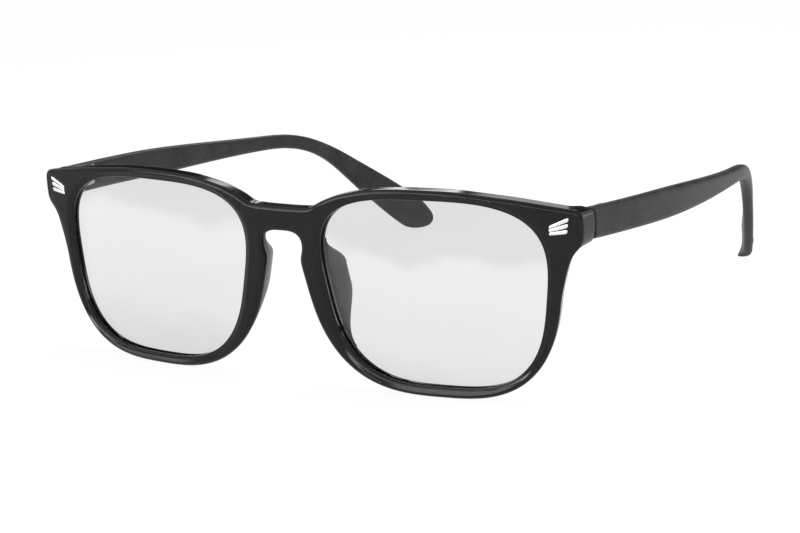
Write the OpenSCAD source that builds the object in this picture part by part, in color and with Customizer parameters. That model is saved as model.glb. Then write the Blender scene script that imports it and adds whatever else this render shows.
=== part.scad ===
// Full-rim glasses with keyhole bridge, graduated lenses and five-barrel hinges.
// Everything is laid out in the front's own frame: X across the face, Y from the
// front back to the ear tips, Z up. stand() then sets the glasses down on the
// bottoms of the rims and the undersides of both tips.

/* [Front] */
// Depth of the rims from front face to back face
front_t = 3.9; // [3.6:0.1:5]
// Radius of the front's face curve, seen from above
face_r = 340; // [260:1:600]
// Width of a lens opening
opening_w = 52.1; // [48:0.1:54]
// Height of a lens opening
opening_h = 42.3; // [36:0.1:46]
// Gap between the two openings, over the nose
lens_gap = 21.3; // [20.5:0.1:24]
// Reach of an end piece beyond the opening beside it
end_reach = 8.25; // [7.8:0.05:9.6]
// Height of the opening's centre under the datum line of the bridge
eye_drop = 0.7; // [0:0.1:2]
// Squareness of the opening, 2 is an ellipse
squareness = 3.1; // [2.4:0.1:3.6]
// How much wider the opening is at its top than at its middle, as a share
brow_taper = 0.125; // [0:0.005:0.18]
// Sideways lean of the opening, as a share of its height
eye_lean = 0.046; // [0:0.001:0.06]
// Width of the slim part of the rim
rim_w = 1.9; // [1.6:0.05:2.6]
// Extra rim width along the brow
brow_w = 0.1; // [0:0.05:0.6]
// Extra rim width at the temple side
side_w = 0.9; // [0.4:0.05:1.6]
// How far the rim beside the nose stays behind the keyhole's edge
nose_step = 0.9; // [0.7:0.05:1.2]
// Radius of the rolled outer edges
edge_r = 1.1; // [0.7:0.05:1.2]
// Radius of the small edges at the lens opening
lip_r = 0.4; // [0.2:0.05:0.5]
// How far the rim's outer wall leans in towards its back at the bottom
low_draft = 0.7; // [0:0.05:0.9]
// How far the wall leans in below the end piece
side_draft = 0.8; // [0:0.05:0.9]
// How far the wall leans in beside the nose
nose_draft = 1.3; // [0:0.05:1.5]

/* [Bridge] */
// Width of the keyhole between the rims
keyhole_w = 10.1; // [8:0.1:12]
// Height of the keyhole's arch above the datum line
keyhole_z = 11.3; // [10:0.1:12]
// How far each rim draws in at the foot of the keyhole
pinch = 0.6; // [0:0.05:0.7]
// Height of the bridge's top edge above the datum line
bridge_z = 16.85; // [16:0.05:17.6]
// Half width of the level top of the bridge
bridge_half_w = 7.3; // [6:0.1:8]

/* [End pieces] */
// Height of the end piece's top corner above the datum line
end_top = 19.2; // [18:0.05:19.6]
// Height of the end piece's lower corner above the datum line
end_low = 11.7; // [11.2:0.1:13]
// Length of the end piece from the rim's back face to the temple
return_l = 2.5; // [1.8:0.1:3.4]
// Thickness of the end piece where it runs back to the temple
return_t = 3.4; // [3:0.1:4]

/* [Lenses] */
// Depth of the lens groove behind the front face
groove_y = 2.1; // [1.8:0.05:2.4]
// Depth of the V groove into the rim
groove_d = 0.6; // [0.4:0.05:0.7]
// Half width of the V groove's mouth
groove_half_w = 0.75; // [0.6:0.05:0.8]
// Edge thickness of a lens
lens_edge_t = 1.3; // [1:0.05:1.4]
// Rise of the lens's front surface at its centre
lens_bulge = 1.9; // [1:0.1:3]
// Play between the lens edge and its groove
lens_play = 0.09; // [0.06:0.01:0.15]

/* [Nose pads] */
// Height of a nose pad behind the rim
pad_h = 6.6; // [4:0.1:7.5]
// Height of a pad's two ends
pad_edge = 0.15; // [0.1:0.05:0.3]
// Lean of a pad away from the nose, as a share of its height
pad_splay = 0.13; // [0:0.01:0.2]
// Angle round the opening at which a pad starts
pad_from = 157.5; // [156:0.5:162]
// Angle at which a pad reaches its full height
pad_crest = 171.5; // [168:0.5:176]
// Angle at which a pad begins to fade
pad_fall = 183; // [178:0.5:188]
// Angle round the opening at which a pad ends
pad_to = 211; // [206:1:222]
// Bond line under a pad
pad_play = 0.05; // [0.03:0.01:0.1]

/* [Temples] */
// Length of a temple along its bends
temple_l = 148; // [138:0.5:154]
// Thickness of a temple
temple_t = 3.4; // [3:0.1:4]
// Thickness of the tip's end
tip_t = 2.4; // [2.2:0.1:3.4]
// Height of a temple at the hinge
temple_h = 6.9; // [6:0.1:7.2]
// Height of a temple at its waist, before the ear bend
waist_h = 3.7; // [3.4:0.1:5]
// Height of the broad tip
tip_h = 9.1; // [7:0.1:10]
// Outward angle of a temple at the hinge
splay = 7.4; // [3:0.1:8]
// Inward turn of a temple over its whole length
bow = 31; // [16:0.5:32]
// Extra inward turn of the tip
tip_turn = 4.7; // [2:0.1:12]
// Downward angle of a temple from the front's normal
pitch = 5.5; // [3:0.1:6]
// Extra downward angle behind the ear
ear_drop = 34.2; // [28:0.1:38]
// Length along a temple at which the ear bend starts
ear_start = 81; // [74:0.5:86]
// Length over which the ear bend turns
ear_run = 35; // [24:0.5:38]
// Length over which the tip turns inwards
turn_run = 20; // [12:1:30]
// Length at which a temple starts to narrow towards its waist
taper_start = 28; // [20:1:36]
// Length over which it narrows
taper_run = 60; // [40:1:70]
// Length from the ear bend's start to where the tip starts to broaden
tip_start = 18; // [10:1:24]
// Length over which the tip broadens
tip_run = 40; // [30:1:46]
// Length at which a temple starts to get thinner
thin_start = 60; // [40:1:80]
// Length over which it gets thinner
thin_run = 80; // [50:1:90]
// Length of the slanting cut at the tip's end
tip_cut = 9; // [6:0.5:12]
// Length of the rounding at the tip's end
tip_round = 3; // [2:0.1:3.6]
// Gap between the end piece and the temple when open
joint_gap = 0.3; // [0.2:0.05:0.4]

/* [Hinges] */
// Radius of the hinge barrels
barrel_r = 1.4; // [1.2:0.05:1.5]
// Height of one of the five barrels
barrel_h = 0.96; // [0.8:0.02:1]
// Gap between neighbouring barrels
barrel_gap = 0.05; // [0.04:0.01:0.1]
// Radius of the screw's shank
screw_r = 0.7; // [0.6:0.05:0.8]
// Running clearance round the screw's shank
screw_play = 0.05; // [0.03:0.01:0.08]
// Radius of the screw's head
screw_head_r = 1.2; // [1.05:0.05:1.3]
// Thickness of the hinge leaves
leaf_t = 0.8; // [0.6:0.05:1]
// Length of the leaf on the front
front_leaf_l = 4.6; // [4:0.1:5]
// Length of the leaf on the temple
temple_leaf_l = 7; // [5:0.1:9]
// Radius of the studs that anchor a leaf
stud_r = 0.45; // [0.3:0.05:0.5]

/* [Trim] */
// Distance of an inlay from the end piece's outer edge
inlay_in = 2.9; // [2.6:0.1:3.4]
// Height of an inlay above the end piece's lower corner
inlay_up = 1.9; // [1.6:0.1:2.4]
// Length of the fan-shaped inlay
inlay_l = 4.4; // [3.6:0.1:4.8]
// Height of the inlay's wide end
inlay_wide = 3.5; // [3:0.1:3.8]
// Height of the inlay's narrow end
inlay_narrow = 2; // [1.4:0.1:2.4]
// How far the inlay stands proud of the end piece
inlay_t = 0.35; // [0.2:0.05:0.5]
// Width of the grooves between the inlay's rays
inlay_groove = 0.3; // [0.2:0.05:0.4]

/* [Hidden] */

half_w = lens_gap/2 + opening_w + end_reach;
end_mid = (end_low + end_top)/2;
end_h = end_top - end_low;
eye_x = (lens_gap + opening_w)/2;
nose_x = keyhole_w/2;
// Extra rim width beside the nose, from the keyhole's edge to the opening
nose_w = lens_gap/2 - nose_x - rim_w - nose_step;
// Sides of the round parts that turn or hold
round_n = 48;
// Room left between pieces of different bodies
air = 0.3;

function smooth(x) = let (c = min(1, max(0, x))) c*c*(3 - 2*c);
function mix(a, b, f) = a + (b - a)*f;
function unit(v) = v/norm(v);
function sag(x) = face_r - sqrt(face_r*face_r - x*x);
function sag_slope(x) = asin(x/face_r);
// Depth at which the end piece meets the temple
joint_y = front_t + sag(half_w) + return_l;

// The opening is a superellipse that widens towards the brow and leans inwards.
function opening(a) =
    let (p = pow(abs(cos(a))*2/opening_w, squareness) + pow(abs(sin(a))*2/opening_h, squareness),
         r = pow(p, -1/squareness),
         x = r*cos(a),
         z = r*sin(a))
    [eye_x + x*(1 + brow_taper*z*2/opening_h) - eye_lean*z, z - eye_drop];
function outwards(a) =
    let (d = opening(a + 0.5) - opening(a - 0.5))
    unit([d.y, -d.x]);
function rim(a) =
    rim_w + brow_w*pow(max(0, sin(a)), 2) + nose_w*pow(max(0, -cos(a)), 6)
    + side_w*pow(max(0, cos(a)), 12);
function rim_edge(a) = opening(a) + outwards(a)*rim(a);

// Angles round the opening of the middle of the keyhole's arch and of the bridge's top
arch_a = 149;
top_a = 506;

// The outer outline of one half: angle round the opening, then X and Z.
// It runs from the keyhole's arch, round the rim and the end piece, to the bridge's top.
// The keyhole's points are shares of its half width, the end piece's of its reach and height,
// and the bridge's of the half width of its level top.
guides = concat(
    [[arch_a, 0, keyhole_z],
     [152, nose_x*0.46, keyhole_z - nose_x*0.01],
     [156.5, nose_x*0.85, keyhole_z - nose_x*0.16],
     [161, nose_x*1.01, keyhole_z - nose_x*0.46],
     [165, nose_x, keyhole_z - nose_x*0.86],
     [169, nose_x - pinch, keyhole_z - nose_x*1.25],
     [176, nose_x*1.04, keyhole_z - nose_x*1.98]],
    [for (a = [186 : 12 : 354]) [a, rim_edge(a).x, rim_edge(a).y]],
    [[362, rim_edge(2).x, rim_edge(2).y],
     [370, half_w - end_reach*0.47, end_low - end_h*0.77],
     [374, half_w - end_reach*0.34, end_low - end_h*0.37],
     [377, half_w - end_reach*0.19, end_low - end_h*0.15],
     [379.5, half_w - end_reach*0.07, end_low],
     [383, half_w - end_reach*0.01, end_low + end_h*0.25],
     [386.5, half_w, end_top - end_h*0.32],
     [389, half_w - end_reach*0.025, end_top - end_h*0.13],
     [391.5, half_w - end_reach*0.14, end_top],
     [395, half_w - end_reach*0.485, end_top + end_h*0.055],
     [401, half_w - end_reach*1.09, end_top + end_h*0.15],
     [408, half_w - end_reach*1.82, end_top + end_h*0.26]],
    [for (a = [420 : 12 : 480]) [a, rim_edge(a).x, rim_edge(a).y]],
    [[490, rim_edge(490).x, rim_edge(490).y],
     [493, bridge_half_w*1.99, bridge_z + bridge_half_w*0.45],
     [496, bridge_half_w*1.49, bridge_z + bridge_half_w*0.26],
     [499, bridge_half_w*1.16, bridge_z + bridge_half_w*0.07],
     [503, bridge_half_w*0.84, bridge_z + bridge_half_w*0.01],
     [top_a, 0, bridge_z]]);
last = len(guides) - 1;
// Number of steps between two guides
steps = 2;
// Columns along the middle of the bridge, where both halves meet
seam_n = 3;

function guide(i) =
    i < 0 ? [2*guides[0][0] - guides[1][0], -guides[1][1], guides[1][2]]
    : i > last ? [2*guides[last][0] - guides[last - 1][0], -guides[last - 1][1], guides[last - 1][2]]
    : guides[i];
function slope(i) = (guide(i + 1) - guide(i - 1))/(guide(i + 1)[0] - guide(i - 1)[0]);
function between(i, f) =
    let (a = guide(i),
         b = guide(i + 1),
         w = b[0] - a[0],
         m = slope(i)*w,
         n = slope(i + 1)*w)
    a*(2*f*f*f - 3*f*f + 1) + m*(f*f*f - 2*f*f + f) + b*(3*f*f - 2*f*f*f) + n*(f*f*f - f*f);
function roll(a) = edge_r*(1 + 0.6*pow(max(0, -cos(a)), 6));
function draft(a) =
    a > 378 ? 0
    : side_draft*pow(max(0, cos(a)), 2) + low_draft*pow(max(0, -sin(a)), 2)
    + (a < 270 ? nose_draft*pow(max(0, -cos(a)), 2) : 0);
// Radius of the edge at the back
heel_r = 0.8*edge_r;
// Every column as angle, X and Z of its outer end, on the bridge's middle also Z at the back
outline = concat(
    [for (i = [0 : last - 1]) for (k = [0 : steps - 1]) between(i, k/steps)],
    [guides[last]],
    [for (k = [1 : seam_n]) let (f = k/(seam_n + 1))
        [mix(top_a, arch_a + 360, f), 0,
         mix(bridge_z - roll(top_a), keyhole_z + roll(arch_a), f),
         mix(bridge_z - heel_r, keyhole_z + heel_r + draft(arch_a), f)]]);
columns = len(outline);
rows = 16;
first_seam = columns - seam_n;

// Where the end piece runs back to the temple, between two angles
function returns(a) = (a > 378 && a < 394) ? 1 : 0;
function edge_normal(i) =
    i == 0 ? [0, -1]
    : i >= first_seam - 1 ? [0, 1]
    : let (d = outline[i + 1] - outline[i - 1]) unit([d[2], -d[1]]);

// One section through the rim: front face, rolled edge, back face, lens groove.
function section(i) =
    let (a = outline[i][0],
         p = opening(a),
         n = outwards(a),
         q = [outline[i][1], outline[i][2]],
         m = edge_normal(i),
         seam = i >= first_seam,
         r = seam ? 0 : min(roll(a), norm(q - p) - lip_r - 0.1),
         lean_in = seam ? q.y - outline[i][3] : draft(a),
         b = seam ? 0 : min(returns(a) > 0 ? 0.6 : heel_r, norm(q - p) - lip_r - 0.1 - lean_in),
         k = 1 - sin(45),
         back = mix(front_t + sag(q.x), joint_y, returns(a)),
         heel = q - m*(lean_in + b),
         lip = p + n*lip_r,
         beside = (a > 375 && a < 397) ? 0.06 : 0.33,
         inner = returns(a) > 0 ? [half_w - return_t, mix(end_mid, heel.y, 0.86)]
             : mix(heel, lip, beside),
         foot = returns(a) > 0 ? inner - [0.8, 0] : mix(heel, lip, 2*beside),
         at = function (v, y) [v.x, y, v.y])
    [at(p, sag(p.x) + lip_r),
     at(p + n*lip_r*k, sag(p.x) + lip_r*k),
     at(lip, sag(p.x)),
     at(q - m*r, sag(q.x)),
     at(q - m*r*k, sag(q.x) + r*k),
     at(q, sag(q.x) + r),
     at(q - m*lean_in, back - b),
     at(q - m*(lean_in + b*k), back - b*k),
     at(heel, back),
     at(inner, returns(a) > 0 ? joint_y : front_t + sag(inner.x)),
     at(foot, front_t + sag(foot.x)),
     at(lip, front_t + sag(p.x)),
     at(p, front_t + sag(p.x) - lip_r),
     at(p, groove_y + groove_half_w + sag(p.x)),
     at(p + n*groove_d, groove_y + sag(p.x)),
     at(p, groove_y - groove_half_w + sag(p.x))];
half_points = [for (i = [0 : columns - 1]) each section(i)];
front_points = concat(half_points, [for (v = half_points) [-v.x, v.y, v.z]]);

// Rows 3 to 8 of the columns on the centre plane belong to both halves.
function on_centre(i, j) = (i == 0 || i >= first_seam - 1) && j >= 3 && j <= 8;
function index(s, i, j) =
    let (c = (i + columns) % columns, r = (j + rows) % rows)
    (s == 1 && !on_centre(c, r) ? columns*rows : 0) + c*rows + r;
function open_here(i, j) = i >= first_seam - 1 && j >= 3 && j < 8;
front_faces = [for (s = [0, 1]) for (i = [0 : columns - 1]) for (j = [0 : rows - 1])
    if (!open_here(i, j))
        each let (a = index(s, i, j), b = index(s, i + 1, j),
                  c = index(s, i + 1, j + 1), d = index(s, i, j + 1))
            s == 0 ? [[a, b, c], [a, c, d]] : [[a, c, b], [a, d, c]]];

// Lens: rings from the rim's opening to the centre, front and back, and a bevelled edge.
lens_rings = [1, 0.86, 0.6, 0.3];
function lens_point(a, f, y, out) =
    let (c = [eye_x, -eye_drop],
         p = opening(a) + outwards(a)*out,
         q = mix(c, p, f),
         edge_y = sag(p.x),
         flat_y = mix(sag(c.x), edge_y, f))
    [q.x, flat_y + y - lens_bulge*(1 - f*f), q.y];
lens_angles = [for (c = outline) c[0]];
function lens_ring(f, y, out) = [for (a = lens_angles) lens_point(a, f, y, out)];
lens_y = [groove_y - lens_edge_t/2, groove_y + lens_edge_t/2];
lens_points = concat(
    [[eye_x, sag(eye_x) + lens_y[0] - lens_bulge, -eye_drop]],
    [for (k = [3 : -1 : 0]) each lens_ring(lens_rings[k], lens_y[0], -lens_play)],
    lens_ring(1, groove_y, groove_d - lens_play),
    [for (k = [0 : 3]) each lens_ring(lens_rings[k], lens_y[1], -lens_play)],
    [[eye_x, sag(eye_x) + lens_y[1] - lens_bulge, -eye_drop]]);
lens_loops = 2*len(lens_rings) + 1;
lens_faces = tube_faces(columns, lens_loops);

// Faces of a closed skin: a first point, loops of n points each, a last point.
function tube_faces(n, loops) = concat(
    [for (i = [0 : n - 1]) [0, 1 + (i + 1) % n, 1 + i]],
    [for (k = [0 : loops - 2]) for (i = [0 : n - 1])
        each let (a = 1 + k*n + i, b = 1 + k*n + (i + 1) % n)
            [[a, b, b + n], [a, b + n, a + n]]],
    [for (i = [0 : n - 1])
        [1 + loops*n, 1 + (loops - 1)*n + i, 1 + (loops - 1)*n + (i + 1) % n]]);

// Nose pad: a crescent on the back of the rim beside the nose, that swells, fades and leans away.
pad_n = 22;
// Each corner of the pad's section, as a share of the rim's width and of the pad's height
pad_shape = [[0.9, 0], [1, 0.3], [1.06, 0.66], [1, 0.92], [0.84, 1],
    [0.64, 0.88], [0.46, 0.6], [0.34, 0.25], [0.32, 0]];
function outer_at(a) =
    let (i = [for (k = [0 : last - 1]) if (guides[k][0] <= a && guides[k + 1][0] > a) k][0],
         g = between(i, (a - guides[i][0])/(guides[i + 1][0] - guides[i][0])))
    [g[1], g[2]];
function pad_section(f) =
    let (a = mix(pad_from, pad_to, f),
         p = opening(a),
         q = outer_at(a),
         swell = smooth((a - pad_from)/(pad_crest - pad_from)),
         h = pad_edge + pad_h*swell*(1 - smooth((a - pad_fall)/(pad_to - pad_fall))))
    [for (c = pad_shape)
        let (v = mix(q, p, c[0]) + unit(p - q)*pad_splay*h*c[1])
        [v.x, front_t + pad_play + sag(v.x) + h*c[1], v.y]];
pad_points = let (s = [for (k = [0 : pad_n]) pad_section(k/pad_n)])
    concat([centre_of(s[0])], [for (r = s) each r], [centre_of(s[pad_n])]);
function centre_of(points, i = 0) =
    i == len(points) - 1 ? points[i]/len(points) : points[i]/len(points) + centre_of(points, i + 1);

// Temple: heading and pitch change along its length, and the path is their sum.
function heading(s) = splay - bow*s/temple_l - tip_turn*smooth((s - ear_start)/turn_run);
function descent(s) = pitch + ear_drop*smooth((s - ear_start)/ear_run);
function direction(s) =
    [sin(heading(s))*cos(descent(s)), cos(heading(s))*cos(descent(s)), -sin(descent(s))];
path_step = 0.5;
// How far the temple's outer face stays inside the end piece's, and its middle below
temple_inset = 0.05;
temple_drop = 0.4;
temple_start = [half_w - temple_t/2 - temple_inset, joint_y + joint_gap, end_mid - temple_drop];
path = [for (s = 0, p = temple_start; s <= temple_l; p = p + direction(s + path_step/2)*path_step,
    s = s + path_step) p];
function place(s) = path[min(len(path) - 1, round(s/path_step))];
function height(s) =
    waist_h + (temple_h - waist_h)*(1 - smooth((s - taper_start)/taper_run))
    + (tip_h - waist_h)*smooth((s - ear_start - tip_start)/tip_run);
function thickness(s) = mix(temple_t, tip_t, smooth((s - thin_start)/thin_run));
// The tip ends in a level, rounded cut.
function cut(s) = smooth((s - temple_l + tip_cut)/tip_cut);
function fade(s) = let (f = max(0, (s - temple_l + tip_round)/tip_round)) sqrt(max(0.05, 1 - f*f));
stations = concat([0, 0.5], [for (s = [4 : 6 : ear_start - 5]) s],
    [for (s = [ear_start : 2.5 : temple_l - tip_round - 1]) s],
    [for (k = [1, 0.7, 0.5, 0.3, 0.15, 0]) temple_l - tip_round*k]);
section_n = 16;
// Length over which a section turns from the joint's plane to square across the temple
square_l = 6;
// Bevel round the temple's end at the joint
end_bevel = 0.25;
// Radius of a temple's long edges
temple_edge_r = 1.3;
function temple_section(s) =
    let (d = unit(mix([0, 1, 0], direction(s), smooth(s/square_l))),
         side = unit([d.y, -d.x, 0]),
         up = unit(mix(cross(side, d), [0, 1, 0], cut(s)*0.8)),
         w = s == 0 ? end_bevel : 0,
         h = height(s)/2*fade(s) - w,
         t = thickness(s)/2*mix(1, fade(s), 0.6) - w,
         r = min(temple_edge_r, t*0.8),
         o = place(s))
    [for (k = [0 : section_n - 1])
        let (q = floor(k/4),
             a = 90*q + 30*(k % 4),
             cx = (q == 0 || q == 3 ? 1 : -1)*(t - r),
             cz = (q < 2 ? 1 : -1)*(h - min(r, h*0.9)))
        o + side*(cx + r*cos(a)) + up*(cz + min(r, h*0.9)*sin(a))];
temple_points = concat([place(0)], [for (s = stations) each temple_section(s)],
    [place(temple_l) + direction(temple_l)*0.15]);
temple_faces = tube_faces(section_n, len(stations));

// Hinge axis: behind the joint, inside the temple's inner face
inner_x = half_w - temple_t;
hinge_x = min(inner_x, half_w - return_t) - barrel_r - air;
hinge_y = joint_y + joint_gap/2;
stack_h = 5*barrel_h + 4*barrel_gap;
hinge_z = temple_start.z - stack_h/2;
function barrel_z(i) = hinge_z + i*(barrel_h + barrel_gap);
bore_r = screw_r + screw_play;
// Width of the necks that carry the barrels
neck_w = 1.5*barrel_r;
// How far a leaf stops short of the stack's ends
leaf_inset = 0.15;
leaf_clear = barrel_r + air;

// Standing: the lean that puts the rims and the tips on one plane
rim_low = min([for (v = half_points) v.z]);
rim_low_y = [for (v = half_points) if (v.z < rim_low + 0.01) v.y][0];
tip_low = min([for (v = temple_points) v.z]);
tip_low_y = [for (v = temple_points) if (v.z < tip_low + 0.01) v.y][0];
lean = atan((tip_low - rim_low)/(tip_low_y - rim_low_y));
function leaned(v) = [v.x, v.y*cos(lean) + v.z*sin(lean), v.z*cos(lean) - v.y*sin(lean)];
stood = [for (v = concat(half_points, temple_points)) leaned(v)];
floor_z = min([for (v = stood) v.z]);
mid_y = (min([for (v = stood) v.y]) + max([for (v = stood) v.y]))/2;
// The lean and the point of the left hinge's axis at the foot of its barrels, once stood
echo(lean = lean, floor_z = floor_z, mid_y = mid_y);
echo(hinge = leaned([hinge_x, hinge_y, hinge_z]) - [0, mid_y, floor_z]);

module stand() {
    translate([0, -mid_y, -floor_z]) rotate([-lean, 0, 0]) children();
}
// The wearer's left is on +X, the wearer's right is its mirror image.
module on_side(side) {
    stand() if (side == "left") children();
    else mirror([1, 0, 0]) children();
}

module front_frame() {
    color([0.05, 0.05, 0.055]) stand() polyhedron(front_points, front_faces, convexity = 8);
}

module lens(side) {
    color([0.85, 0.88, 0.9, 0.5]) on_side(side)
        polyhedron(lens_points, lens_faces, convexity = 4);
}

module nose_pad(side) {
    color([0.3, 0.3, 0.31]) on_side(side)
        polyhedron(pad_points, tube_faces(len(pad_shape), pad_n + 1), convexity = 4);
}

module temple(side) {
    color([0.2, 0.2, 0.21]) on_side(side)
        polyhedron(temple_points, temple_faces, convexity = 4);
}

// Fan of three rays, wide end outwards, level along its bottom
module inlay_shape() {
    rise = (inlay_wide - inlay_narrow)/3;
    for (k = [0 : 2]) {
        low_in = k*inlay_narrow/3;
        low_out = k*inlay_wide/3;
        cut = k == 0 ? 0 : inlay_groove/2;
        top_cut = k == 2 ? 0 : inlay_groove/2;
        polygon([[0, low_in + cut], [inlay_l, low_out + cut],
            [inlay_l + rise*0.4, low_out + inlay_wide/6],
            [inlay_l, low_out + inlay_wide/3 - top_cut],
            [0, low_in + inlay_narrow/3 - top_cut]]);
    }
}

module inlay(side) {
    x = half_w - inlay_in - inlay_l;
    z = end_low + inlay_up;
    mid = x + inlay_l/2;
    color([0.86, 0.86, 0.88]) on_side(side)
        translate([mid, sag(mid) - 0.05, z]) rotate([90, 0, sag_slope(mid)])
            translate([-inlay_l/2, 0, 0]) union() {
                linear_extrude(inlay_t) inlay_shape();
                translate([0, 0, 0.01]) linear_extrude(inlay_t*0.4)
                    polygon([[0, 0], [inlay_l, 0], [inlay_l, inlay_wide], [0, inlay_narrow]]);
                for (f = [0.25, 0.75])
                    translate([inlay_l*f, mix(inlay_narrow, inlay_wide, f)/2, -0.9])
                        cylinder(h = 1, r = stud_r, $fn = round_n);
            }
}

module barrel(i) {
    translate([hinge_x, hinge_y, barrel_z(i)])
        cylinder(h = barrel_h, r = barrel_r, $fn = round_n);
}

module bore() {
    translate([hinge_x, hinge_y, hinge_z - 1])
        cylinder(h = stack_h + 2, r = bore_r, $fn = round_n);
}

// Leaf on the back of the front, with barrels 1, 3 and 5 on short necks
module front_hinge(side) {
    leaf_x = hinge_x - barrel_r - front_leaf_l/2 + 2.4;
    leaf_y = front_t + sag(leaf_x) + 0.02;
    color([0.7, 0.7, 0.72]) on_side(side) union() {
        translate([leaf_x, leaf_y, hinge_z]) rotate([0, 0, sag_slope(leaf_x)]) union() {
            translate([-front_leaf_l/2, 0, leaf_inset])
                cube([front_leaf_l, leaf_t, stack_h - 2*leaf_inset]);
            for (z = [0.25, 0.75])
                translate([-front_leaf_l*0.22, 0.1, stack_h*z]) rotate([90, 0, 0])
                    cylinder(h = 1.2, r = stud_r, $fn = round_n);
        }
        difference() {
            for (i = [0, 2, 4]) union() {
                barrel(i);
                translate([hinge_x - neck_w/2, leaf_y + leaf_t*0.6, barrel_z(i)])
                    cube([neck_w, hinge_y - leaf_y - leaf_t*0.6, barrel_h]);
            }
            bore();
        }
    }
}

// Leaf on the temple's inner face, with barrels 2 and 4
module temple_hinge(side) {
    reach = inner_x - hinge_x;
    start_y = hinge_y + sqrt(pow(leaf_clear, 2) - pow(reach - leaf_t, 2)) + 0.1;
    color([0.7, 0.7, 0.72]) on_side(side) union() {
        translate([inner_x, joint_y + joint_gap, hinge_z]) rotate([0, 0, -splay]) union() {
            translate([-leaf_t - 0.02, start_y - joint_y - joint_gap, leaf_inset])
                cube([leaf_t, temple_leaf_l, stack_h - 2*leaf_inset]);
            for (f = [0.35, 0.8])
                translate([-0.2, start_y - joint_y - joint_gap + temple_leaf_l*f, stack_h/2])
                    rotate([0, 90, 0]) cylinder(h = 1.4, r = stud_r, $fn = round_n);
        }
        difference() {
            for (i = [1, 3]) union() {
                barrel(i);
                translate([hinge_x, hinge_y, barrel_z(i)])
                    cube([reach - 0.05, start_y - hinge_y + 0.6, barrel_h]);
            }
            bore();
        }
    }
}

// Screw with a slotted head on the top barrel
module hinge_screw(side) {
    head_h = 0.5;
    top = hinge_z + stack_h + 0.02;
    color([0.8, 0.8, 0.82]) on_side(side) difference() {
        union() {
            translate([hinge_x, hinge_y, hinge_z - 0.2])
                cylinder(h = top - hinge_z + 0.3, r = screw_r, $fn = round_n);
            translate([hinge_x, hinge_y, top])
                cylinder(h = head_h, r = screw_head_r, $fn = round_n);
        }
        translate([hinge_x - screw_head_r - 1, hinge_y - 0.15, top + head_h - 0.25])
            cube([2*screw_head_r + 2, 0.3, 1]);
    }
}

front_frame();
lens("left");  // lens_left
lens("right");  // lens_right
nose_pad("left");  // nose_pad_left
nose_pad("right");  // nose_pad_right
inlay("left");  // inlay_left
inlay("right");  // inlay_right
front_hinge("left");  // front_hinge_left
front_hinge("right");  // front_hinge_right
temple_hinge("left");  // temple_hinge_left
temple_hinge("right");  // temple_hinge_right
hinge_screw("left");  // hinge_screw_left
hinge_screw("right");  // hinge_screw_right
temple("left");  // temple_left
temple("right");  // temple_right
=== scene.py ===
"""Glasses with graduated lenses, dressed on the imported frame.

The front, lenses, pads, temples and inlays are surfaces worked out with numpy in the front's own
layout (millimetres, X across the face, Y from the front back to the tips, Z up) and set down by
Stand, as the solids are. The hinges and screws are the solids themselves.
"""
import logging
import math
from dataclasses import dataclass
from enum import Enum

import bpy
import numpy as np
from bpy.types import Material, Node, NodeTree, Object
from mathutils import Matrix, Vector


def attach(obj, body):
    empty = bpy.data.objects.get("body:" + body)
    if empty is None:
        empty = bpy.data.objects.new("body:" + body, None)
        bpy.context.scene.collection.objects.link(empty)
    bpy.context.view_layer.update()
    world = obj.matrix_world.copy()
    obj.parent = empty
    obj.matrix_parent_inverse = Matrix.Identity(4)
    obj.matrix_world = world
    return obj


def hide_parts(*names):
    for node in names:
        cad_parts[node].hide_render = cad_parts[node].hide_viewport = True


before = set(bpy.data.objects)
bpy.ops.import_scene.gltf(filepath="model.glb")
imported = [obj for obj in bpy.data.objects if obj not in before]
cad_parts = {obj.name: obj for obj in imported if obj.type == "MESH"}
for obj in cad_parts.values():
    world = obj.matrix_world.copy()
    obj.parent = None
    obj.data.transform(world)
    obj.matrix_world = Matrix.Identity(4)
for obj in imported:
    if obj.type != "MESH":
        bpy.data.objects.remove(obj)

LOG = logging.getLogger("glasses")
MM = 0.001
Array = np.ndarray
Triple = tuple[float, float, float]
Stretch = tuple[float, float]
Tint = tuple[float, float, float, float]
Link = tuple[Node, str | int, Node, str | int]
Started = tuple[Material, Node, Node]
Surface = tuple[Array, Array, Array]


class Side(Enum):
    """The wearer's side of a piece: the left is on +X."""

    LEFT = 1.0
    RIGHT = -1.0

    @property
    def word(self) -> str:
        """The side's name as the nodes spell it."""
        return self.name.lower()


# ---- numbers and meshes
def smooth(x: Array) -> Array:
    """Eases from 0 to 1: c*c*(3 - 2c), with c the value held between 0 and 1."""
    c = np.clip(x, 0.0, 1.0)
    return c * c * (3.0 - 2.0 * c)


def window(a: Array, rise: Stretch, fall: Stretch) -> Array:
    """Rises from 0 to 1 and falls back, each over the stretch that a start and a length give."""
    return smooth((a - rise[0]) / rise[1]) * (1 - smooth((a - fall[0]) / fall[1]))


def mix(a: Array, b: Array, f: Array) -> Array:
    """Straight mix of a and b by the share f."""
    return a + (b - a) * f


def unit(v: Array) -> Array:
    """Rows of v scaled to length one."""
    return v / np.linalg.norm(v, axis=-1, keepdims=True)


def cos_sin(deg: Array) -> tuple[Array, Array]:
    """Cosine and sine of angles in degrees."""
    return np.cos(np.radians(deg)), np.sin(np.radians(deg))


def vec(*parts: Array) -> Array:
    """Points or directions from their coordinates, which become the last axis."""
    return np.stack(parts, axis=-1)


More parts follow.
